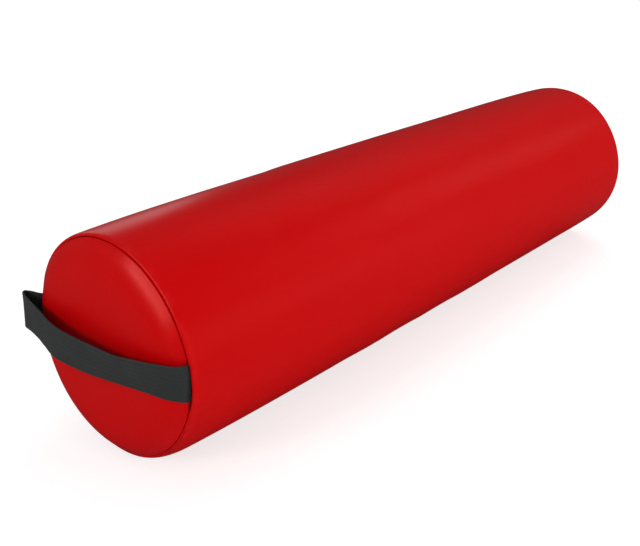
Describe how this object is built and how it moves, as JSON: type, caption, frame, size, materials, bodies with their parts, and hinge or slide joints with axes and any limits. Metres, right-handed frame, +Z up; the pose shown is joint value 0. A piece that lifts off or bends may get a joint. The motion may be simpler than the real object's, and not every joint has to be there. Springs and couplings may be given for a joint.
{
  "type": "bolster pillow",
  "caption": "Full-round treatment-table bolster: a foam cylinder in a vinyl cover with crowned ends, a webbing handle across one end and a nylon zip along the back.",
  "frame": {"origin": "middle of the flat that the underside settles to, under the middle of the length", "axes": "+X runs along the bolster from the handle end to the far end, +Z up; the handle is sewn in at +Y and -Y and the zip is at +Y"},
  "size_m": [0.6212, 0.1522, 0.1514],
  "materials": {
    "foam": "matte",
    "wadding": "matte",
    "vinyl": "satin",
    "vinyl_end": "satin",
    "cover_thread": "matte",
    "webbing": "matte",
    "tack_thread": "matte",
    "zip_tape": "matte",
    "zip_nylon": "satin",
    "zip_metal": "satin"
  },
  "bodies": {
    "cover": {"foam_core": "foam", "wadding_wrap": "wadding", "wadding_disc_strap_end": "wadding", "wadding_disc_far_end": "wadding", "wrap_panel": "vinyl", "strap_end_panel": "vinyl_end", "far_end_panel": "vinyl_end", "strap_end_seam_thread": "cover_thread", "far_end_seam_thread": "cover_thread", "long_seam_thread": "cover_thread", "strap_tail_front": "webbing", "strap_tail_back": "webbing", "strap_tack_threads": "tack_thread", "zip_tape_upper": "zip_tape", "zip_tape_lower": "zip_tape", "zip_coil_upper": "zip_nylon", "zip_coil_lower": "zip_nylon", "zip_stitch_upper": "cover_thread", "zip_stitch_lower": "cover_thread", "zip_top_stops": "zip_metal", "zip_bottom_stop": "zip_metal"},
    "handle": {"handle_strap": "webbing"},
    "zip_slider": {"zip_slider_body": "zip_metal", "zip_slider_crown": "zip_metal"},
    "zip_pull": {"zip_pull_tab": "zip_metal"}
  },
  "joints": [
    {"name": "handle_swing", "type": "hinge", "parent": "cover", "child": "handle", "pos_m": [-0.2996, 0, 0.07525], "axis": [0, 1, 0], "range_deg": [-20, 20], "stiffness_Nm_per_rad": 0.03},
    {"name": "zip_slide", "type": "slide", "parent": "cover", "child": "zip_slider", "axis": [-1, 0, 0], "range_m": [0, 0.386]},
    {"name": "pull_tab_swing", "type": "hinge", "parent": "zip_slider", "child": "zip_pull", "pos_m": [0.198, 0.06838, 0.11161], "axis": [0, 0.4695, -0.8829], "range_deg": [0, 165]}
  ]
}
